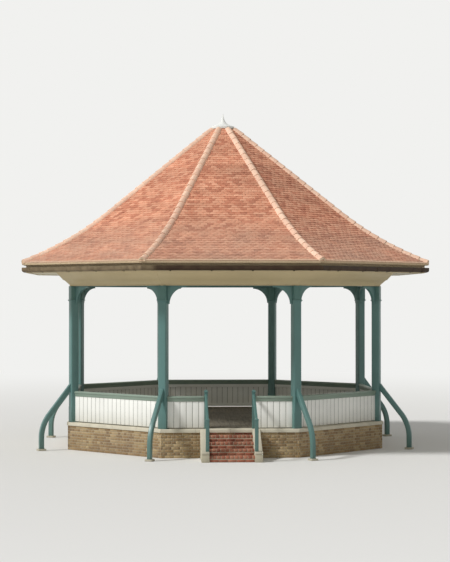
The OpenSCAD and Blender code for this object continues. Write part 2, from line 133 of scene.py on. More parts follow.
def linear(hexText):
    parts = [int(hexText[i:i + 2], 16) / 255 for i in (1, 3, 5)]
    return [c / 12.92 if c <= 0.04045 else ((c + 0.055) / 1.055) ** 2.4 for c in parts] + [1.0]


# Another node's output is linked to a socket, and anything else is set on the socket itself
def setInputs(tree, node, inputs):
    for key, value in inputs.items():
        if isinstance(value, bpy.types.NodeSocket):
            tree.links.new(value, node.inputs[key])
        else:
            node.inputs[key].default_value = value


# Adds a node and gives back the output asked for, or the node itself for None
def addNode(tree, kind, inputs=None, out=0, **settings):
    node = tree.nodes.new(kind)
    for name, value in settings.items():
        setattr(node, name, value)
    setInputs(tree, node, inputs or {})
    return node if out is None else node.outputs[out]


# Kinds of node that come up often, and a metre in the millimetres that patterns are sized in
vectors = "ShaderNodeVectorMath"
bump = "ShaderNodeBump"
attribute = "ShaderNodeAttribute"
metre = 1000


def mathNode(tree, operation, *values):
    return addNode(tree, "ShaderNodeMath", dict(enumerate(values)), operation=operation)


# Carries a value over from one range to another, given as low, high, new low and new high
def remapped(tree, *values, **settings):
    return addNode(tree, "ShaderNodeMapRange", dict(enumerate(values)), **settings)


# Repeats in a metre of a pattern of this size in millimetres
def perMetre(size):
    return metre / size


# Cloudy noise whose largest patches have this size in millimetres
def cloudy(tree, where, size, detail, roughness=0.5):
    return addNode(tree, "ShaderNodeTexNoise", {
        "Vector": where, "Scale": perMetre(size), "Detail": detail, "Roughness": roughness})


def laidOver(tree, share, lower, upper):
    return addNode(tree, "ShaderNodeMix", {0: share, 6: lower, 7: upper}, out=2, data_type="RGBA")


# Multiplies a colour by another or by a value
def shaded(tree, colour, by):
    return addNode(
        tree, "ShaderNodeMix", {0: 1.0, 6: colour, 7: by}, out=2, data_type="RGBA", blend_type="MULTIPLY")


def meshFrom(shape, name):
    mesh = bpy.data.meshes.new(name)
    shape.to_mesh(mesh)
    shape.free()
    return mesh


def newObject(name, data):
    made = bpy.data.objects.new(name, data)
    scene.collection.objects.link(made)
    return made


def joinMeshes(name, parts):
    shape = bmesh.new()
    for part in parts:
        shape.from_mesh(part)
        bpy.data.meshes.remove(part)
    return meshFrom(shape, name)


# A block with eased edges, given by its lowest and highest corner
def blockMesh(name, low, high, ease):
    shape = bmesh.new()
    bmesh.ops.create_cube(shape, size=1.0)
    for v in shape.verts:
        v.co = Vector([low[i] + (v.co[i] + 0.5) * (high[i] - low[i]) for i in range(3)])
    bmesh.ops.bevel(shape, geom=shape.edges[:], offset=ease, segments=1, affect="EDGES")
    return meshFrom(shape, name)


# A closed shell through rings of points
def loftMesh(name, rings):
    shape = bmesh.new()
    loops = [[shape.verts.new(point) for point in ring] for ring in rings]
    count = len(loops[0])
    for a, b in zip(loops, loops[1:]):
        for i in range(count):
            j = (i + 1) % count
            shape.faces.new((a[i], a[j], b[j], b[i]))
    shape.faces.new(loops[0])
    shape.faces.new(loops[-1])
    bmesh.ops.recalc_face_normals(shape, faces=shape.faces)
    return meshFrom(shape, name)


def coat(piece, material):
    piece.data.materials.clear()
    piece.data.materials.append(material)


def dress(piece, material, slotName, *nodes):
    coat(piece, material)
    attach(piece, "root")
    if nodes:
        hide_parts(*nodes)


# Merges what the cuts laid on top of itself, points every face outwards and makes the mesh a piece
def addPiece(name, mesh, sharpAngle, material, slotName, *nodes):
    shape = bmesh.new()
    shape.from_mesh(mesh)
    bmesh.ops.remove_doubles(shape, verts=shape.verts, dist=0.00002)
    bmesh.ops.dissolve_degenerate(shape, edges=shape.edges, dist=0.00005)
    bmesh.ops.recalc_face_normals(shape, faces=shape.faces)
    for face in shape.faces:
        face.smooth = True
    shape.to_mesh(mesh)
    shape.free()
    mesh.set_sharp_from_angle(angle=math.radians(sharpAngle))
    dress(newObject(name, mesh), material, slotName, *nodes)


# Lays one shape in rows up a slope or wall. Rows climb the profile and columns run along the side.
# A side reaches out sideways by Wide, plus Splay for each metre from the middle, but never past Most:
# what lies past that is cut off at it
def buildRowsTree():
    tree = bpy.data.node_groups.new("rowsOnProfile", "GeometryNodeTree")
    sockets = {
        "Geometry": ["Profile"],
        "Object": ["Shape"],
        "Material": ["Finish"],
        "Int": ["Rows", "Columns", "Seed"],
        "Float": [
            "Start", "Step", "Pitch", "Bond", "Keep", "Wide", "Splay", "Most", "Shift", "Lift", "Tilt",
            "Turn"],
    }
    for kind, names in sockets.items():
        for name in names:
            tree.interface.new_socket(name=name, in_out="INPUT", socket_type="NodeSocket" + kind)
    tree.interface.new_socket(name="Mesh", in_out="OUTPUT", socket_type="NodeSocketGeometry")
    given = addNode(tree, "NodeGroupInput", out=None).outputs

    # Which row and column each point stands for
    count = mathNode(tree, "MULTIPLY", given["Rows"], given["Columns"])
    points = addNode(tree, "GeometryNodePoints", {"Count": count})
    index = addNode(tree, "GeometryNodeInputIndex")
    nudged = mathNode(tree, "ADD", index, 0.5)
    rowPart = mathNode(tree, "DIVIDE", nudged, given["Columns"])
    row = mathNode(tree, "FLOOR", rowPart)
    before = mathNode(tree, "MULTIPLY", row, given["Columns"])
    column = mathNode(tree, "SUBTRACT", index, before)
    # How far up the profile the row lies, and which way the profile faces there
    along = mathNode(tree, "MULTIPLY_ADD", row, given["Step"], given["Start"])
    curve = addNode(tree, "GeometryNodeMeshToCurve", {"Mesh": given["Profile"]})
    sample = addNode(
        tree, "GeometryNodeSampleCurve", {"Curves": curve, "Length": along}, out=None, mode="LENGTH").outputs
    outward = addNode(tree, vectors, {0: (0, 1, 0), 1: sample["Tangent"]}, operation="CROSS_PRODUCT")
    # Each shape has a shift along its row, a lift off the slope and a tone of its own
    back = mathNode(tree, "MULTIPLY", given["Shift"], -1.0)
    chances = []
    for low, high, extra in ((back, given["Shift"], 11.0), (0.0, given["Lift"], 12.0), (0.0, 1.0, 13.0)):
        seed = mathNode(tree, "ADD", given["Seed"], extra)
        chances.append(addNode(
            tree, "FunctionNodeRandomValue", {2: low, 3: high, "Seed": seed}, out=1, data_type="FLOAT"))
    shift, lift, anyTone = chances
    # How far along the side the column lies, with every other row shifted by the bond
    last = mathNode(tree, "SUBTRACT", given["Columns"], 1.0)
    middle = mathNode(tree, "MULTIPLY", last, 0.5)
    odd = mathNode(tree, "MODULO", row, 2.0)
    bonded = mathNode(tree, "MULTIPLY_ADD", odd, given["Bond"], column)
    place = mathNode(tree, "SUBTRACT", bonded, middle)
    across = mathNode(tree, "MULTIPLY_ADD", place, given["Pitch"], shift)
    lifted = addNode(tree, vectors, {0: outward, 1: lift, 2: sample["Position"]}, operation="MULTIPLY_ADD")
    sideways = addNode(tree, "ShaderNodeCombineXYZ", {1: across})
    spot = addNode(tree, vectors, {0: lifted, 1: sideways}, operation="ADD")
    # Local X runs along the side, Y up the profile and Z out of it, with a small random tilt
    square = addNode(
        tree, "FunctionNodeAxesToRotation", {"Primary Axis": outward, "Secondary Axis": sample["Tangent"]},
        primary_axis="Z", secondary_axis="Y")
    most = addNode(tree, vectors, {0: (1, 1, 1), 3: given["Tilt"]}, operation="SCALE")
    least = addNode(tree, vectors, {0: most, 3: -1.0}, operation="SCALE")
    wobble = addNode(
        tree, "FunctionNodeRandomValue", {0: least, 1: most, "Seed": given["Seed"]}, data_type="FLOAT_VECTOR")
    turned = addNode(tree, "FunctionNodeRotateRotation", {0: square, 1: wobble}, rotation_space="LOCAL")
    faced = addNode(
        tree, "GeometryNodeStoreNamedAttribute", {"Geometry": points, "Name": "facing", "Value": turned},
        data_type="QUATERNION", domain="POINT")
    toned = addNode(
        tree, "GeometryNodeStoreNamedAttribute", {"Geometry": faced, "Name": "tone", "Value": anyTone},
        data_type="FLOAT", domain="POINT")
    moved = addNode(tree, "GeometryNodeSetPosition", {"Geometry": toned, "Position": spot})
    # The limit of the side at this distance out. Shapes wholly past it go, the rest are cut to it
    position = addNode(tree, "GeometryNodeInputPosition")
    parts = addNode(tree, "ShaderNodeSeparateXYZ", {0: position}, out=None).outputs
    farOut = mathNode(tree, "ABSOLUTE", parts[0])
    spread = mathNode(tree, "MULTIPLY_ADD", farOut, given["Splay"], given["Wide"])
    limit = mathNode(tree, "MINIMUM", spread, given["Most"])
    sideOut = mathNode(tree, "ABSOLUTE", parts[1])
    nearest = mathNode(tree, "SUBTRACT", sideOut, given["Keep"])
    outside = mathNode(tree, "GREATER_THAN", nearest, limit)
    inside = addNode(
        tree, "GeometryNodeDeleteGeometry", {"Geometry": moved, "Selection": outside}, domain="POINT")
    facing = addNode(tree, "GeometryNodeInputNamedAttribute", {"Name": "facing"}, data_type="QUATERNION")
    shape = addNode(tree, "GeometryNodeObjectInfo", {"Object": given["Shape"]}, out="Geometry")
    placed = addNode(
        tree, "GeometryNodeInstanceOnPoints", {"Points": inside, "Instance": shape, "Rotation": facing})
    real = addNode(tree, "GeometryNodeRealizeInstances", {"Geometry": placed})
    low = mathNode(tree, "MULTIPLY", limit, -1.0)
    notOver = mathNode(tree, "MINIMUM", parts[1], limit)
    cutAcross = mathNode(tree, "MAXIMUM", notOver, low)
    cutSpot = addNode(tree, "ShaderNodeCombineXYZ", {0: parts[0], 1: cutAcross, 2: parts[2]})
    cut = addNode(tree, "GeometryNodeSetPosition", {"Geometry": real, "Position": cutSpot})
    # Each shape's own piece of pattern: its place on the side, moved by its tone
    tone = addNode(tree, "GeometryNodeInputNamedAttribute", {"Name": "tone"}, data_type="FLOAT")
    grain = addNode(tree, vectors, {0: (31, 17, 23), 1: tone, 2: position}, operation="MULTIPLY_ADD")
    grained = addNode(
        tree, "GeometryNodeStoreNamedAttribute", {"Geometry": cut, "Name": "grain", "Value": grain},
        data_type="FLOAT_VECTOR", domain="POINT")
    spin = addNode(tree, "ShaderNodeCombineXYZ", {2: given["Turn"]})
    sided = addNode(tree, "GeometryNodeTransform", {"Geometry": grained, "Rotation": spin})
    finished = addNode(tree, "GeometryNodeSetMaterial", {"Geometry": sided, "Material": given["Finish"]})
    addNode(tree, "NodeGroupOutput", {0: finished}, out=None)
    return tree


rowsTree = buildRowsTree()
seedsApart = 101      # each side draws its own chances
noLimit = 1000.0      # metres, past anything here


# Runs the rows on each turn given and returns them as one plain mesh
def laidRows(name, profile, shape, turns, finish, **values):
    settings = {
        "Shape": newObject(name + "Shape", shape), "Finish": finish, "Seed": 1,
        "Rows": 1, "Start": 0.0, "Step": 1.0, "Columns": 1, "Pitch": 1.0, "Bond": 0.0, "Keep": noLimit,
        "Wide": noLimit, "Splay": 0.0, "Most": noLimit, "Shift": 0.0, "Lift": 0.0, "Tilt": 0.0, **values,
    }
    line = bpy.data.meshes.new(name + "Line")
    line.from_pydata([(x, 0, z) for x, z in profile], [(i, i + 1) for i in range(len(profile) - 1)], [])
    runs = []
    for order, turn in enumerate(turns):
        carrier = newObject(name + "Carrier", line)
        modifier = carrier.modifiers.new("rows", "NODES")
        modifier.node_group = rowsTree
        ownSettings = {**settings, "Turn": turn, "Seed": settings["Seed"] + seedsApart * order}
        for item in rowsTree.interface.items_tree:
            if item.name in ownSettings:
                modifier[item.identifier] = ownSettings[item.name]
        evaluated = carrier.evaluated_get(bpy.context.evaluated_depsgraph_get())
        runs.append(bpy.data.meshes.new_from_object(evaluated))
        bpy.data.objects.remove(carrier)
    bpy.data.objects.remove(settings["Shape"])
    bpy.data.meshes.remove(line)
    return joinMeshes(name, runs)


def newFinish(name):
    material = bpy.data.materials.new(name)
    material.use_nodes = True
    tree = material.node_tree
    return material, tree, tree.nodes["Principled BSDF"], addNode(tree, "ShaderNodeTexCoord", out="Object")


# Plain clay goods, sand-faced and fired in batches: matt, each piece its own shade, with soot,
# dust and lichen
def firedClay(name, shades, blotchSize, soot, bands=0.0, dustTop=0.01, dust=0.0, paleTop=-1.0):
    material, tree, shader, where = newFinish(name)
    tone = addNode(tree, attribute, out="Fac", attribute_name="tone")
    ramp = addNode(tree, "ShaderNodeValToRGB", {0: tone}, out=None)
    stops = ramp.color_ramp.elements
    for i, shade in enumerate(shades):
        stop = stops[i] if i < 2 else stops.new(0.5)
        stop.position = i / (len(shades) - 1)
        stop.color = linear(shade)
    own = addNode(tree, attribute, out="Vector", attribute_name="grain")
    mottle = cloudy(tree, own, blotchSize, 4.0, 0.65)
    burnt = remapped(tree, mottle, 0.3, 0.7, 0.86, 1.1)
    # Courses laid from one batch read as faint level bands, about 250 mm high
    level = addNode(tree, "ShaderNodeMapping", {"Vector": where, "Scale": (0.1, 0.1, 1.0)})
    batch = cloudy(tree, level, 250, 2.0)
    banded = remapped(tree, batch, 0.35, 0.65, 1 - bands, 1 + bands)
    depth = mathNode(tree, "MULTIPLY", burnt, banded)
    fired = shaded(tree, ramp.outputs[0], depth)
    weather = cloudy(tree, where, 1100, 5.0, 0.6)
    grime = remapped(tree, weather, 0.42, 0.72, 0.0, soot)
    aged = laidOver(tree, grime, fired, linear("#6B5547"))
    # Pale dust gathers low down, where the slope is flattest
    height = addNode(tree, "ShaderNodeSeparateXYZ", {0: where}, out=2)
    low = remapped(tree, height, dustTop - 1.2, dustTop, dust, 0.0)
    patchy = mathNode(tree, "MULTIPLY", low, weather)
    dusty = laidOver(tree, patchy, aged, linear("#C4A894"))
    # The lowest course at the eave is paler than the rest
    atEave = remapped(tree, height, paleTop, paleTop + 0.02, 0.6, 0.0)
    edged = laidOver(tree, atEave, dusty, linear("#DCC3A6"))
    spots = cloudy(tree, where, 24, 2.0)
    lichen = remapped(tree, spots, 0.68, 0.74, 0.0, 0.5)
    grown = laidOver(tree, lichen, edged, linear("#B9B39A"))
    # The sand is under 1 mm and is drawn at 4 mm, so that it shows
    sand = cloudy(tree, own, 4, 6.0, 0.7)
    relief = addNode(tree, bump, {"Strength": 0.35, "Distance": 0.002, "Height": sand})
    setInputs(tree, shader, {"Base Color": grown, "Normal": relief, "Roughness": 0.88, "IOR": 1.5})
    return material


# Stone, render and mortar: matt and granular, darker where rain and dust settle low down
def masonry(name, shade, dirt, grainSize, reliefDepth, dirtTop):
    material, tree, shader, where = newFinish(name)
    bed = cloudy(tree, where, 330, 6.0, 0.65)
    speck = cloudy(tree, where, grainSize, 3.0, 0.8)
    tint = remapped(tree, bed, 0.3, 0.7, 0.88, 1.08)
    fleck = remapped(tree, speck, 0.3, 0.7, 0.9, 1.08)
    both = mathNode(tree, "MULTIPLY", tint, fleck)
    body = shaded(tree, linear(shade), both)
    height = addNode(tree, "ShaderNodeSeparateXYZ", {0: where}, out=2)
    low = remapped(tree, height, 0.0, dirtTop, 0.75, 0.0)
    patch = mathNode(tree, "MULTIPLY", low, bed)
    soiled = laidOver(tree, patch, body, linear(dirt))
    relief = addNode(tree, bump, {"Strength": 0.5, "Distance": reliefDepth, "Height": speck})
    setInputs(tree, shader, {"Base Color": soiled, "Normal": relief, "Roughness": 0.9})
    return material


# Oil paint brushed on planed timber: a low sheen over faint grain, dust low down, dirt and painted
# shade in the grooves, and a few chips
def paintedTimber(name, shade, dirt, sheen, dirtLow, dirtHigh, chips, onBoards=False):
    material, tree, shader, where = newFinish(name)
    fade = cloudy(tree, where, 700, 4.0, 0.6)
    tint = remapped(tree, fade, 0.3, 0.7, 0.91, 1.01)
    # Grain lines are a few millimetres wide and are drawn at 18 mm, so that they show
    fine, long = perMetre(18), perMetre(600)
    if onBoards:
        own = addNode(tree, attribute, out="Vector", attribute_name="grain")
        stretch = (fine, long, fine)
    else:
        own = where
        stretch = (fine, fine, long)
    fibre = addNode(tree, "ShaderNodeMapping", {"Vector": own, "Scale": stretch})
    grain = cloudy(tree, fibre, metre, 4.0, 0.6)
    body = shaded(tree, linear(shade), tint)
    height = addNode(tree, "ShaderNodeSeparateXYZ", {0: where}, out=2)
    low = remapped(tree, height, dirtLow, dirtHigh, 0.55, 0.0)
    dust = mathNode(tree, "MULTIPLY", low, grain)
    dusty = laidOver(tree, dust, body, linear(dirt))
    # The V faces are darkened: dirt, and painted shade that the shallow V would not cast by itself
    groove = addNode(tree, attribute, out="Fac", attribute_name="groove")
    soiled = laidOver(tree, groove, dusty, linear("#5D5C50"))
    flake = cloudy(tree, where, 38, 5.0, 0.7)
    bare = remapped(tree, flake, chips, chips + 0.015, 0.0, 1.0)
    chipped = laidOver(tree, bare, soiled, linear("#8C7F6B"))
    dull = remapped(tree, fade, 0.3, 0.7, sheen + 0.1, sheen)
    relief = addNode(tree, bump, {"Strength": 0.25, "Distance": 0.0015, "Height": grain})
    setInputs(tree, shader, {"Base Color": chipped, "Roughness": dull, "Normal": relief, "IOR": 1.5})
    return material


# Bare softwood: sawn and pale inside the roof, silvered by weather on the floor. Its grain lines
# are drawn at 26 mm, so that they show
def bareTimber(name, early, late, onBoards, wear):
    material, tree, shader, where = newFinish(name)
    own = addNode(tree, attribute, out="Vector", attribute_name="grain") if onBoards else where
    stretch = (perMetre(26), perMetre(770), perMetre(26))
    fibre = addNode(tree, "ShaderNodeMapping", {"Vector": own, "Scale": stretch})
    grain = cloudy(tree, fibre, metre, 6.0, 0.65)
    rings = remapped(tree, grain, 0.35, 0.65)
    wood = laidOver(tree, rings, linear(late), linear(early))
    trod = cloudy(tree, where, 900, 5.0)
    dull = remapped(tree, trod, 0.35, 0.7, 1.05, 1.0 - wear)
    worn = shaded(tree, wood, dull)
    relief = addNode(tree, bump, {"Strength": 0.4, "Distance": 0.0015, "Height": grain})
    setInputs(tree, shader, {
        "Base Color": worn, "Normal": relief, "Roughness": 0.85, "Specular IOR Level": 0.25})
    return material


# The way to the sun in the photograph, and how far that way only two sides of the eave reach
sun = {"way": (-0.913, -0.407, 0.0), "reach": (3.98, 4.12)}


# Painted metal: gloss with a film of dust on the cast gutter, and chalky on the lead cap. On the two sides
# that face the key light the gutter is paler: mostly painted sunlight, partly sun-bleached paint
def paintedMetal(name, shade, dirt, film, roughness, shine, paintedSunlight=0.0):
    material, tree, shader, where = newFinish(name)
    cloud = cloudy(tree, where, 200, 6.0, 0.65)
    # Painted sunlight: on the two sides facing the key light the pale film covers at least the share given
    # last
    sunward = addNode(tree, vectors, {0: where, 1: sun["way"]}, out=1, operation="DOT_PRODUCT")
    paintedSunShare = remapped(tree, sunward, *sun["reach"], 0.0, paintedSunlight)
    dusty = remapped(tree, cloud, 0.42, 0.75, paintedSunShare, film)
    body = laidOver(tree, dusty, linear(shade), linear(dirt))
    dull = remapped(tree, cloud, 0.3, 0.7, roughness, roughness + 0.2)
    cast = cloudy(tree, where, 5.5, 3.0)
    relief = addNode(tree, bump, {"Strength": 0.2, "Distance": 0.001, "Height": cast})
    setInputs(tree, shader, {
        "Base Color": body, "Roughness": dull, "Normal": relief, "Specular IOR Level": shine})
    return material


clayTile = firedClay(
    "sandFacedClayTile", ["#BC795E", "#D28C6E", "#DD9C7C", "#C88468", "#E7AA8A"], 42, 0.2, bands=0.09,
    dustTop=6.5, dust=0.8, paleTop=slope["eaveZ"] + 0.05)
hipTile = firedClay("paleClayHipTile", ["#EDC2A8", "#F8D4BA", "#F2C9AE"], 55, 0.2)
stockBrick = firedClay("yellowStockBrick", ["#A08A64", "#B59E78", "#9A8059", "#BCA884", "#8A7354"], 33, 0.4)
redBrick = firedClay("redFacingBrick", ["#8E5440", "#A4654D", "#9C5F48", "#7C4A3A", "#B27A60"], 33, 0.5)
pointing = masonry("limeMortar", "#B9AE98", "#6B6353", 4.5, 0.002, 0.5)
hipBedding = masonry("warmHipMortar", "#D6BFA3", "#9A8468", 4.5, 0.002, 0.5)
paleStone = masonry("sawnPaleStone", "#CFC8B4", "#6E6A58", 6.5, 0.0015, 0.75)
cement = masonry("paleCementRender", "#CBC3AC", "#75705C", 8, 0.003, 0.6)
tealPaint = paintedTimber("tealOilPaint", "#587E7A", "#5E6A5A", 0.34, 0.0, 1.4, 0.74)
whitePaint = paintedTimber("whiteOilPaint", "#F2F2EC", "#A9A58F", 0.4, 0.72, 1.15, 0.75)
railPaint = paintedTimber("greyGreenOilPaint", "#87988A", "#7B8072", 0.4, 0.0, 0.9, 0.73)
# The cornice and fascia cream is darker than the boards' cream: cream paint, partly darkened as painted shade
creamPaintWithShade = paintedTimber("creamOilPaintWithShade", "#C9B78F", "#8F866A", 0.42, 4.2, 4.9, 0.76)
creamBoards = paintedTimber("creamPaintedBoards", "#D9CFB0", "#8F866A", 0.45, 0.0, 0.1, 0.77, onBoards=True)
floorTimber = bareTimber("weatheredFloorBoards", "#7C7566", "#5A5346", True, 0.2)
sawnTimber = bareTimber("sawnSoftwood", "#C2A678", "#9A7B4F", False, 0.1)
eaveTimber = bareTimber("weatheredEaveBoards", "#D2BC9C", "#B49E7E", False, 0.2)
# The gutter's last value paints its two sides that face the key light paler, as painted sunlight
gutterPaint = paintedMetal("darkBrownGutterPaint", "#33200F", "#7E6E54", 0.2, 0.45, 0.3, paintedSunlight=0.95)
leadPaint = paintedMetal("whitePaintedLead", "#ECEDE9", "#B9B7AC", 0.45, 0.5, 0.5)
print("finishes made")

# Plain tiles, 165 mm wide, laid broken-jointed to a 100 mm gauge and swept up at the eave
tiles = {
    "width": 0.165, "gap": 0.003, "gauge": 0.1, "length": 0.15, "thick": 0.013, "camber": 0.004,
    "start": 0.022, "overhang": 0.02, "hipGap": 0.002, "sliver": 0.012, "boardSteps": 24,
}
halfTile = (tiles["width"] - tiles["gap"]) / 2


def tileMesh():
    across = spaced(-halfTile, halfTile, 3)
    rings = []
    for y, low in ((0.0, tiles["thick"] * 0.85), (tiles["length"], -tiles["thick"] * 0.35)):
        under = [(x, y, low + tiles["camber"] * (1 - (x / halfTile) ** 2)) for x in across]
        rings.append([(x, y, z + tiles["thick"]) for x, y, z in under] + under[::-1])
    return loftMesh("plainTile", rings)


# Boards and battens under the tiles of one side, which overhang them into the gutter
def roofBoards(turn):
    edge = eaveFlat - tiles["overhang"]
    flats = spaced(edge, slope["innerFlat"], tiles["boardSteps"])
    inner = [f for f in flats[::-1] if f < fasciaOut]
    profile = [(f, roofAt(f)) for f in flats]
    profile += [(f, roofAt(f, plan["roofThick"])) for f in inner + [fasciaOut]]
    profile += [(f, roofAt(f, plan["tileEdge"])) for f in (fasciaOut, edge)]
    mesh = loftMesh("roofBoards", [[(f, side * f * mitreTan, z) for f, z in profile] for side in (-1, 1)])
    mesh.transform(Matrix.Rotation(turn, 4, "Z"))
    return mesh


oneTile = tileMesh()
shortTile = blockMesh("eaveTile", (-halfTile, 0, 0), (halfTile, tiles["gauge"], tiles["thick"] * 0.8), 0.001)
tileRows = int((lineLength(roofLine) - tiles["start"]) / tiles["gauge"])
tilesAcross = 2 * int(eaveFlat * mitreTan / tiles["width"] + 1) + 1
cutAtHips = {
    "Pitch": tiles["width"], "Splay": mitreTan, "Wide": -tiles["hipGap"],
    "Keep": tiles["width"] / 2 - tiles["sliver"],
}
for k, turn in enumerate(sideTurns):
    mainCourses = laidRows(
        "mainCourses", roofLine, oneTile, [turn], clayTile,
        Rows=tileRows, Start=tiles["start"], Step=tiles["gauge"], Columns=tilesAcross, Bond=0.5,
        Shift=0.0012, Lift=0.0035, Tilt=math.radians(0.5), Seed=40 + k, **cutAtHips)
    underCourse = laidRows(
        "underCourse", roofLine, shortTile, [turn], clayTile,
        Start=tiles["start"] + 0.001, Columns=tilesAcross - 1, Shift=0.001, Seed=60 + k, **cutAtHips)
    laid = joinMeshes("roofTiles", [mainCourses, underCourse])
    addPiece(f"roof_tiles_{k + 1}", laid, 30, clayTile, "clay_tile")
    addPiece(
        f"roof_boards_{k + 1}", roofBoards(turn), 20, eaveTimber, "bare_timber", f"roof_face_{k + 1}")
print("roof tiled:", tileRows, "courses")

# Hip tiles, bedded on mortar, each lapping the one below it
hips = {
    "length": 0.31, "gauge": 0.262, "halfWidth": 0.098, "height": 0.078, "thick": 0.014, "foot": 0.006,
    "start": 0.062, "lowEnd": 0.017, "highEnd": -0.004, "lean": 0.6, "across": 10,
}


def hipMesh():
    # The foot of each side lies on the slopes, which fall away from the hip
    lean = mitreSin * math.tan(slope["roofPitch"]) * hips["lean"]
    around = spaced(0, math.pi, hips["across"])
    rings = []
    for y, grow in ((0.0, hips["lowEnd"]), (hips["length"], hips["highEnd"])):
        ring = []
        for thick, angles in ((0.0, around), (hips["thick"], around[::-1])):
            wide = hips["halfWidth"] + grow / 2 - thick
            high = hips["height"] + grow - thick - hips["foot"]
            for a in angles:
                x = -wide * math.cos(a)
                ring.append((x, y, hips["foot"] + high * math.sin(a) - abs(x) * lean))
        rings.append(ring)
    return loftMesh("hipTile", rings)


hipLine = [(x / mitreCos, z) for x, z in roofLine]
hipRun = lineLength(hipLine) - hips["start"] - hips["length"]
hipCount = round(hipRun / hips["gauge"]) + 1
mesh = laidRows(
    "hipTiles", hipLine, hipMesh(), cornerTurns, hipTile, Rows=hipCount, Start=hips["start"],
    Step=hipRun / (hipCount - 1), Lift=0.004, Tilt=math.radians(0.6), Seed=90)
addPiece("hip_tile_caps", mesh, 40, hipTile, "hip_tile")
print("hips laid:", hipCount, "tiles each")

# Bricks of 215 x 65 mm in English bond: a course of stretchers, then a course of headers
bricks = {
    "stretcher": 0.215, "header": 0.1025, "joint": 0.01, "proud": 0.004, "depth": 0.02, "ease": 0.0025,
    "courses": 9, "sliver": 0.004,
}
courseStep = edgeZ / bricks["courses"]


def wallBricks(name, long, first, seed):
    low = (-long / 2, 0, -bricks["depth"])
    high = (long / 2, courseStep - bricks["joint"], bricks["proud"])
    pitch = long + bricks["joint"]
    return laidRows(
        name, [(baseFlat, 0.0), (baseFlat, edgeZ)], blockMesh("brick", low, high, bricks["ease"]),
        sideTurns, stockBrick,
        Rows=(bricks["courses"] + 1 - first) // 2, Start=courseStep * first + bricks["joint"] / 2,
        Step=2 * courseStep, Columns=2 * int(baseFlat * mitreTan / pitch + 1) + 1, Pitch=pitch,
        Keep=long / 2 - bricks["sliver"], Shift=0.001, Lift=0.002, Tilt=math.radians(0.25), Seed=seed,
        Wide=0.0, Splay=mitreTan)


for name, long, first, seed in (
        ("stretcher_courses", bricks["stretcher"], 0, 200), ("header_courses", bricks["header"], 1, 300)):
    addPiece(name, wallBricks(name, long, first, seed), 50, stockBrick, "stock_brick")

# Steps: header bricks laid flat for each nosing, a stretcher course below and one behind
steps = {
    "nosing": 0.211, "nosingDepth": 0.061, "nosingEase": 0.005, "riserFoot": 0.004, "riserHead": 0.066,
    "tread": 0.06, "ease": 0.003, "lead": 0.1, "treadAt": 0.2, "treadGap": 0.021, "sliver": 0.03,
    "sideGap": 0.002,
}
riser = plan["floorZ"] / (plan["steps"] + 1)
halfHeader, halfStretcher = bricks["header"] / 2, bricks["stretcher"] / 2
nosing = blockMesh(
    "nosingBrick", (-halfHeader, -bricks["proud"], -steps["nosingDepth"]),
    (halfHeader, steps["nosing"], bricks["proud"]), steps["nosingEase"])
lower = blockMesh(
    "riserBrick", (-halfStretcher, steps["riserFoot"], -bricks["depth"]),
    (halfStretcher, steps["riserHead"], bricks["proud"]), steps["ease"])
behind = blockMesh(
    "treadBrick", (-halfStretcher, 0.0, -bricks["depth"]),
    (halfStretcher, steps["tread"], bricks["proud"]), steps["ease"])
halfFlight = plan["stepWidth"] / 2 - steps["sideGap"]
across = {"Wide": halfFlight, "Keep": steps["sliver"], "Tilt": math.radians(0.3)}
stretchers = {"Columns": 7, "Pitch": bricks["stretcher"] + bricks["joint"], "Lift": 0.001, **across}
headers = {"Columns": 13, "Pitch": bricks["header"] + bricks["joint"], "Lift": 0.0015, **across}
parts = []
for k in range(1, plan["steps"] + 2):
    front = baseFlat + (plan["steps"] + 1 - k) * plan["treadDepth"]
    top = riser * k
    middle = front - steps["treadAt"]
    upRiser = [(front, top - riser), (front, top)]
    overNosing = [(front + steps["lead"], top), (middle, top)]
    overTread = [(middle, top), (middle - steps["lead"], top)]
    runs = [("riser", upRiser, lower, steps["riserFoot"], 400, stretchers)]
    if k <= plan["steps"]:
        runs.append(("nosing", overNosing, nosing, steps["lead"], 420, headers))
        runs.append(("tread", overTread, behind, steps["treadGap"], 440, stretchers))
    for name, line, shape, start, seed, values in runs:
        parts.append(laidRows(
            name, line, shape, sideTurns[:1], redBrick, Start=start, Seed=seed + k, **values))
addPiece("step_bricks", joinMeshes("stepBricks", parts), 50, redBrick, "red_brick")
print("bricks laid")

# Edge stones with a rounded outer arris and 6 mm joints, four to a side
stones = {"perSide": 4, "joint": 0.006, "nose": 0.022}
stonePitch = 2 * edgeFlat * mitreTan / stones["perSide"]


def stoneMesh():
    half = stonePitch / 2 - stones["joint"] / 2
    nose, thick, wide = stones["nose"], plan["edgeThick"], plan["edgeWidth"]
    # Up the outer face, round the arris, then back over the top
    section = [(0.0, 0.0), (thick - nose, 0.0)]
    for degrees in (30, 60, 90):
        a = math.radians(degrees)
        section.append((thick - nose + nose * math.sin(a), -nose + nose * math.cos(a)))
    section += [(thick, -wide), (0.0, -wide)]
    return loftMesh("edgeStone", [[(x, y, z) for y, z in section] for x in (-half, half)])


mesh = laidRows(
    "edgeStones", [(edgeFlat, edgeZ), (edgeFlat, plan["floorZ"])], stoneMesh(), sideTurns, paleStone,
    Columns=stones["perSide"], Pitch=stonePitch, Seed=500, Splay=mitreTan, Wide=-stones["joint"] / 2)
addPiece("edge_stones", mesh, 50, paleStone, "pale_stone", "stone_edge")
print("edge stones set")

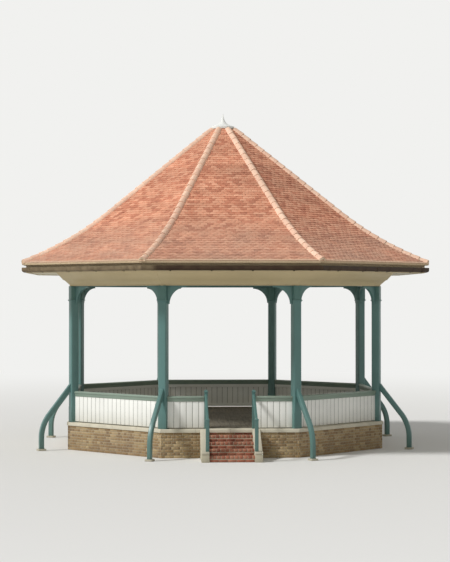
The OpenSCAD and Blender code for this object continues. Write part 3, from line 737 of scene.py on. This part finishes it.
# Floor boards run from front to back with a 4 mm gap, cut to the octagon
boards = {"width": 0.14, "gap": 0.004, "thick": 0.04, "reach": 5, "ease": 0.003}
deckFlat = edgeFlat - plan["edgeWidth"] - plan["seat"]
halfBoard = (boards["width"] - boards["gap"]) / 2
boardLong = blockMesh(
    "floorBoard", (-boards["reach"], -halfBoard, -boards["thick"]), (boards["reach"], halfBoard, 0),
    boards["ease"])
boardRows = int(2 * deckFlat / boards["width"])
spare = 2 * deckFlat - boardRows * boards["width"]
mesh = laidRows(
    "floorBoards", [(deckFlat, plan["floorZ"]), (-deckFlat, plan["floorZ"])], boardLong, [0.0], floorTimber,
    Rows=boardRows, Start=(spare + boards["width"]) / 2, Step=boards["width"], Seed=600,
    Wide=deckFlat * math.sqrt(2), Splay=-1.0, Most=deckFlat)
addPiece("floor_boards", mesh, 30, floorTimber, "floor_boards", "floor_deck")

# Beaded boards line the ceiling and the eaves, mitred at each corner
lining = {"width": 0.1, "thick": 0.02, "vee": 0.006, "gap": 0.0012, "reach": 4, "mitre": 0.001, "boss": 0.05}
halfLining = (lining["width"] - lining["gap"]) / 2
liningBoard = blockMesh(
    "liningBoard", (-lining["reach"], -halfLining, -lining["thick"]), (lining["reach"], halfLining, 0),
    lining["vee"])
halfBeam = plan["beamWidth"] / 2
for name, inner, outer, seed, node in (
        ("soffit_boards", postFlat + halfBeam, fasciaIn, 700, "soffit"),
        ("ceiling_boards", lining["boss"], postFlat - halfBeam - plan["seat"], 720, "ceiling")):
    rows = round((outer - inner) / lining["width"])
    pitch = (outer - inner) / rows
    mesh = laidRows(
        name, [(inner, soffitZ), (outer, soffitZ)], liningBoard, sideTurns, creamBoards,
        Rows=rows, Start=pitch / 2, Step=pitch, Seed=seed, Splay=mitreTan, Wide=-lining["mitre"])
    addPiece(name, mesh, 30, creamBoards, "cream_paint", node)
print("boards laid")


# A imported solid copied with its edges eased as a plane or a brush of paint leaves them
def easedCopy(name, node, ease, material, slotName, extra=None):
    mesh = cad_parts[node].data.copy()
    shape = bmesh.new()
    shape.from_mesh(mesh)
    bmesh.ops.remove_doubles(shape, verts=shape.verts, dist=0.00005)
    bmesh.ops.dissolve_limit(shape, angle_limit=math.radians(0.8), verts=shape.verts, edges=shape.edges)
    shape.to_mesh(mesh)
    shape.free()
    rough = newObject(name + "Rough", mesh)
    if ease:
        bevel = rough.modifiers.new("ease", "BEVEL")
        bevel.width = ease
        bevel.segments = 2
        bevel.limit_method = "ANGLE"
        bevel.angle_limit = math.radians(28)
    plain = bpy.data.meshes.new_from_object(rough.evaluated_get(bpy.context.evaluated_depsgraph_get()))
    bpy.data.objects.remove(rough)
    if extra:
        plain = joinMeshes(name, [plain, extra])
    for face in plain.polygons:
        face.use_smooth = True
    plain.set_sharp_from_angle(angle=math.radians(40))
    piece = newObject(name, plain)
    dress(piece, material, slotName, node)
    return piece


panels = {
    "ease": 0.0015, "grooveDirtAndShade": 0.85, "largestVee": 0.012, "out": 0.035, "thick": 0.024, "width": 0.16,
    "foot": 0.115, "head": 0.615, "newel": 0.09, "vee": 0.006, "least": 0.03, "bed": 0.001,
}


# The backs of the boards show between the two rails of a panel, with a V between each two
def boardBacks(turn, wayIn):
    face = postFlat + panels["out"] - panels["thick"]
    back, vee = face + panels["bed"], panels["vee"]
    atPost = (plan["postWidth"] / 2 + plan["seat"]) / mitreCos
    half = (postFlat + panels["out"]) * mitreTan - atPost
    reach = (face - vee) * mitreTan - atPost
    count = round(2 * half / panels["width"])
    edges = spaced(-half, half, count)
    parts = []
    for left, right in zip(edges, edges[1:]):
        start, end = max(left, -reach), min(right, reach)
        spans = [(start, min(end, -wayIn)), (max(start, wayIn), end)] if wayIn else [(start, end)]
        for a, b in spans:
            if b - a < panels["least"]:
                continue
            front = face - vee
            section = [(back, a), (face, a), (front, a + vee), (front, b - vee), (face, b), (back, b)]
            heights = (plan["floorZ"] + panels["foot"], plan["floorZ"] + panels["head"])
            parts.append(loftMesh("boardBack", [[(x, y, z) for x, y in section] for z in heights]))
    mesh = joinMeshes("boardBacks", parts)
    mesh.transform(Matrix.Rotation(turn, 4, "Z"))
    return mesh


# Marks the faces of the V between two boards, where dirt lies and where painted shade darkens them
def markGrooves(piece, turn):
    out = Vector((math.cos(turn), math.sin(turn), 0))
    marks = piece.data.attributes.new("groove", "FLOAT", "FACE")
    for face in piece.data.polygons:
        facing = abs(face.normal.dot(out))
        if 0.5 < facing < 0.9 and abs(face.normal.z) < 0.1 and face.area < panels["largestVee"]:
            marks.data[face.index].value = panels["grooveDirtAndShade"]


for k, turn in enumerate(sideTurns):
    easedCopy(f"planed_post_{k + 1}", f"post_{k + 1}", 0.005, tealPaint, "teal_paint")
    place = str(k) if k else "front"
    wayIn = 0 if k else plan["stepWidth"] / 2 + panels["newel"] + plan["seat"]
    piece = easedCopy(
        f"boarded_panel_{place}", f"panel_{place}", panels["ease"], whitePaint, "white_paint",
        boardBacks(turn, wayIn))
    markGrooves(piece, turn)
eased = [
    ("curved_struts", "struts", 0.006, tealPaint, "teal_paint"),
    ("curved_brackets", "brackets", 0.005, tealPaint, "teal_paint"),
    ("stair_newels", "newels", 0.004, tealPaint, "teal_paint"),
    ("stair_handrails", "handrails", 0.01, tealPaint, "teal_paint"),
    ("balustrade_rails", "top_rails", 0.008, railPaint, "rail_paint"),
    ("splayed_cornice", "cornice", 0.003, creamPaintWithShade, "cream_paint"),
    ("eave_fascia", "fascia", 0.003, creamPaintWithShade, "cream_paint"),
    ("head_beam", "ring_beam", 0.006, tealPaint, "teal_paint"),
    ("ceiling_mouldings", "ceiling_ribs", 0.004, tealPaint, "teal_paint"),
    ("eave_gutter", "gutter", 0, gutterPaint, "gutter_paint"),
    ("cheek_copings", "cheek_caps", 0.008, paleStone, "pale_stone"),
    ("foot_pads", "strut_pads", 0.006, paleStone, "pale_stone"),
    ("rendered_cheeks", "cheeks", 0.006, cement, "pale_stone"),
]
for values in eased:
    easedCopy(*values)
print("timbers eased")

# Cast brackets carry the gutter off the fascia, and socketed unions join its lengths. Each is made of
# straps bent round it, given by their offset, width and thickness
fittings = {
    "reach": 0.003, "firstAngle": 208, "steps": 8, "underBead": 0.002,
    "strap": [(0, 0.03, 0.005)],
    "union": [(0, 0.07, 0.004), (-0.032, 0.008, 0.009), (0.032, 0.008, 0.009)],
    "lugFoot": -0.019, "lugHead": 0.03, "halfLug": 0.02, "lugThick": 0.006,
    "bracketPitch": 1.04, "unionPitch": 2.0,
}


def underGutter():
    radius = gutter["width"] / 2
    reach = radius + fittings["reach"]
    turns = [math.radians(degrees) for degrees in spaced(fittings["firstAngle"], 360, fittings["steps"])]
    line = [(radius + reach * math.sin(a), radius + reach * math.cos(a)) for a in turns]
    bead = gutter["depth"] - gutter["bead"] - fittings["underBead"]
    return line + [(bead, gutter["width"] + fittings["reach"])]


# Straps bent along a line of (up, out) points
def strapMesh(line, bands):
    parts = []
    for offset, width, thick in bands:
        rings = []
        for i, (up, out) in enumerate(line):
            before, after = line[max(i - 1, 0)], line[min(i + 1, len(line) - 1)]
            way = Vector((after[0] - before[0], after[1] - before[1])).normalized() * thick / 2
            rings.append([
                (offset + x * width / 2, up - s * way.y, out + s * way.x)
                for x, s in ((-1, -1), (1, -1), (1, 1), (-1, 1))])
        parts.append(loftMesh("strap", rings))
    return joinMeshes("straps", parts)


gutterTop = roofAt(eaveFlat, plan["tileEdge"]) - gutter["drop"]
gutterLine = [(fasciaOut, gutterTop - gutter["depth"]), (fasciaOut, gutterTop)]
lug = blockMesh(
    "gutterLug", (-fittings["halfLug"], fittings["lugFoot"], 0),
    (fittings["halfLug"], fittings["lugHead"], fittings["lugThick"]), 0.001)
fittingRuns = [
    laidRows("fitting", gutterLine, shape, sideTurns, gutterPaint, Columns=columns, Pitch=pitch)
    for shape, columns, pitch in (
        (strapMesh(underGutter(), fittings["strap"]), 4, fittings["bracketPitch"]),
        (lug, 4, fittings["bracketPitch"]),
        (strapMesh(underGutter(), fittings["union"]), 3, fittings["unionPitch"]))]
addPiece("gutter_fittings", joinMeshes("gutterFittings", fittingRuns), 35, gutterPaint, "gutter_paint")

# Two coach bolts hold the head of each strut to its post, with domed heads on round washers.
# The outline gives shares of the washer's radius and of the head's height
bolts = {
    "washer": 0.022, "high": 0.011, "around": 10,
    "outline": [(1.0, 0), (1.0, 0.25), (0.64, 0.27), (0.6, 0.6), (0.42, 0.88), (0.15, 1.0)],
    "first": 0.07, "pitch": 0.13, "strutTop": 1.05, "strutPitch": 51, "run": 0.5,
}
boltRings = []
for radius, z in bolts["outline"]:
    wide = bolts["washer"] * radius
    turns = spaced(0, 2 * math.pi, bolts["around"])[:-1]
    boltRings.append([(wide * math.cos(a), wide * math.sin(a), bolts["high"] * z) for a in turns])
strutFace = plan["postCircle"] + plan["postWidth"] / 2
strutHead = plan["floorZ"] + bolts["strutTop"]
rake = math.radians(bolts["strutPitch"])
rakedFoot = (strutFace + bolts["run"] * math.cos(rake), strutHead - bolts["run"] * math.sin(rake))
mesh = laidRows(
    "strutBolts", [rakedFoot, (strutFace, strutHead)], loftMesh("coachBolt", boltRings), cornerTurns,
    tealPaint, Rows=2, Start=bolts["run"] - bolts["first"] - bolts["pitch"], Step=bolts["pitch"])
addPiece("strut_bolts", mesh, 40, tealPaint, "teal_paint")

# The lead is dressed up from the hips in one sweep and ends in a slender spike, as in the photograph.
# It is more slender than the solid cap and spike, which it stands for
sweep = {
    "rise": 0.1, "skirt": 0.068, "skirtOut": 0.012, "tip": 0.007, "flare": 6, "taper": 1.6,
    "spikeShare": 0.4, "capShare": 0.3, "capSteps": 10, "spikeSteps": 18, "roundRadius": 0.12,
    "around": 32, "collar": 0.004,
}
sweepFoot = roofAt(slope["capFlat"]) + sweep["rise"]
sweepHigh = cadBox[1][2] - sweepFoot


def sweepRing(radius, z):
    # Eight-sided at the foot, where it lies on the hips, and round by the time it is a spike
    square = min(max((radius - sweep["roundRadius"]) / (slope["capFlat"] - sweep["roundRadius"]), 0), 1)
    ring = []
    for j in range(sweep["around"]):
        a = 2 * math.pi * (j + 0.5) / sweep["around"]
        off = (a + halfAngle) % (2 * halfAngle) - halfAngle
        reach = radius * (1 + square * (1 / math.cos(off) - 1))
        ring.append((reach * math.cos(a), reach * math.sin(a), z))
    return ring


def sweepRadius(share):
    # A wide foot that falls away fast, and the long taper of the spike
    foot = (1 - sweep["spikeShare"]) * (1 - share) ** sweep["flare"]
    spike = sweep["spikeShare"] * (1 - share) ** sweep["taper"]
    return sweep["tip"] + (slope["capFlat"] - sweep["tip"]) * (foot + spike)


def sweepRings(low, high, count):
    return [sweepRing(sweepRadius(u), sweepFoot + sweepHigh * u) for u in spaced(low, high, count)]


split = sweep["capShare"]
skirtFlat = slope["capFlat"] + sweep["skirtOut"]
skirt = [sweepRing(skirtFlat, sweepFoot - sweep[low]) for low in ("skirt", "skirtOut")]
collar = sweepRing(sweepRadius(split) + sweep["collar"], sweepFoot + sweepHigh * split - sweep["collar"])
for name, rings, node in (
        ("dressed_lead_cap", skirt + sweepRings(0, split, sweep["capSteps"]), "lead_cap"),
        ("turned_spike", [collar] + sweepRings(split, 1, sweep["spikeSteps"]), "finial")):
    addPiece(name, loftMesh(name, rings), 40, leadPaint, "lead", node)
print("fittings fixed")

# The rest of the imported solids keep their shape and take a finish
kept = [
    (pointing, ["base", "step_1", "step_2", "step_3", "step_4"]),
    (sawnTimber, ["tie_beams", "king_post", "hip_rafters"]),
    (hipBedding, ["hip_tiles"]),
]
for material, nodes in kept:
    for node in nodes:
        coat(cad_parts[node], material)
print("solids finished")


# A point at this distance and height, as seen from the middle. Azimuth 0 is the side with the steps
def outFrom(distance, azimuth, height):
    return Vector((distance * math.sin(azimuth), -distance * math.cos(azimuth), height))


# Camera on the photograph's line of sight, with a longer lens
view = {
    "distance": 45.9, "azimuth": math.radians(-2.5), "height": 4.15, "aim": (0.06, 0.0, 4.62), "lens": 103,
}
camera = bpy.data.cameras.new("camera")
camera.lens = view["lens"]
camera.clip_end = 5000
eye = newObject("camera", camera)
eye.location = outFrom(view["distance"], view["azimuth"], view["height"])
eye.rotation_euler = (Vector(view["aim"]) - eye.location).to_track_quat("-Z", "Y").to_euler()
scene.camera = eye

# Soft key from the left, as the sun stands in the photograph, and an even pale surround
light = {
    "strength": 2.5, "azimuth": math.radians(-66), "height": math.radians(42), "softness": math.radians(10),
}
key = bpy.data.lights.new("key", "SUN")
key.energy = light["strength"]
key.angle = light["softness"]
fromKey = outFrom(math.cos(light["height"]), light["azimuth"], math.sin(light["height"]))
newObject("key", key).rotation_euler = fromKey.to_track_quat("Z", "Y").to_euler()

studio = {
    "fill": 0.43, "backdrop": "#F1F1EF", "floor": "#E4E3E0", "far": 1500, "under": 0.02,
    "hazeFrom": 9.0, "hazeTo": 45.0,
}
world = bpy.data.worlds.new("paleStudio")
scene.world = world
world.use_nodes = True
sky = world.node_tree
backdrop = linear(studio["backdrop"])
rays = addNode(sky, "ShaderNodeLightPath", out=None).outputs
seen = mathNode(sky, "MAXIMUM", rays["Is Camera Ray"], rays["Is Glossy Ray"])
strength = remapped(sky, seen, 0.0, 1.0, studio["fill"], 1.0)
setInputs(sky, sky.nodes["Background"], {0: backdrop, 1: strength})

# The floor is open under the base, so that its underside is lit when it is seen from below
stepsLow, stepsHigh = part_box("cheeks")
stepsIn, stepsOut = stepsHigh[0] - studio["under"], -stepsLow[1] - studio["under"]
holeFlat = baseFlat - studio["under"]
holeCorner = holeFlat / mitreCos
rim = [(stepsIn, -stepsOut), (stepsIn, -holeFlat)]
rim += [(holeCorner * math.cos(turn), holeCorner * math.sin(turn)) for turn in cornerTurns]
rim += [(-stepsIn, -holeFlat), (-stepsIn, -stepsOut)]
farRim = [(studio["far"] * x / math.hypot(x, y), studio["far"] * y / math.hypot(x, y)) for x, y in rim]
count = len(rim)
ground = bpy.data.meshes.new("studioFloor")
ground.from_pydata(
    [(x, y, 0) for x, y in rim + farRim], [],
    [(i, count + i, count + (i + 1) % count, (i + 1) % count) for i in range(count)])
paleFloor, tree, shader, where = newFinish("palePlainFloor")
setInputs(tree, shader, {"Base Color": linear(studio["floor"]), "Roughness": 0.95})
# Well beyond the object the floor takes the backdrop's colour, so that no horizon shows
away = addNode(tree, vectors, {0: where}, out="Value", operation="LENGTH")
distant = remapped(tree, away, studio["hazeFrom"], studio["hazeTo"], interpolation_type="SMOOTHSTEP")
direct = addNode(tree, "ShaderNodeLightPath", out="Is Camera Ray")
blended = mathNode(tree, "MULTIPLY", distant, direct)
haze = addNode(tree, "ShaderNodeEmission", {"Color": backdrop})
surface = addNode(tree, "ShaderNodeMixShader", {0: blended, 1: shader.outputs[0], 2: haze})
# Seen from below the floor is clear, so that the underside shows
behindIt = addNode(tree, "ShaderNodeNewGeometry", out="Backfacing")
clear = addNode(tree, "ShaderNodeBsdfTransparent")
oneWay = addNode(tree, "ShaderNodeMixShader", {0: behindIt, 1: surface, 2: clear})
setInputs(tree, tree.nodes["Material Output"], {"Surface": oneWay})
ground.materials.append(paleFloor)
newObject("studio_floor", ground)

print("scene ready")
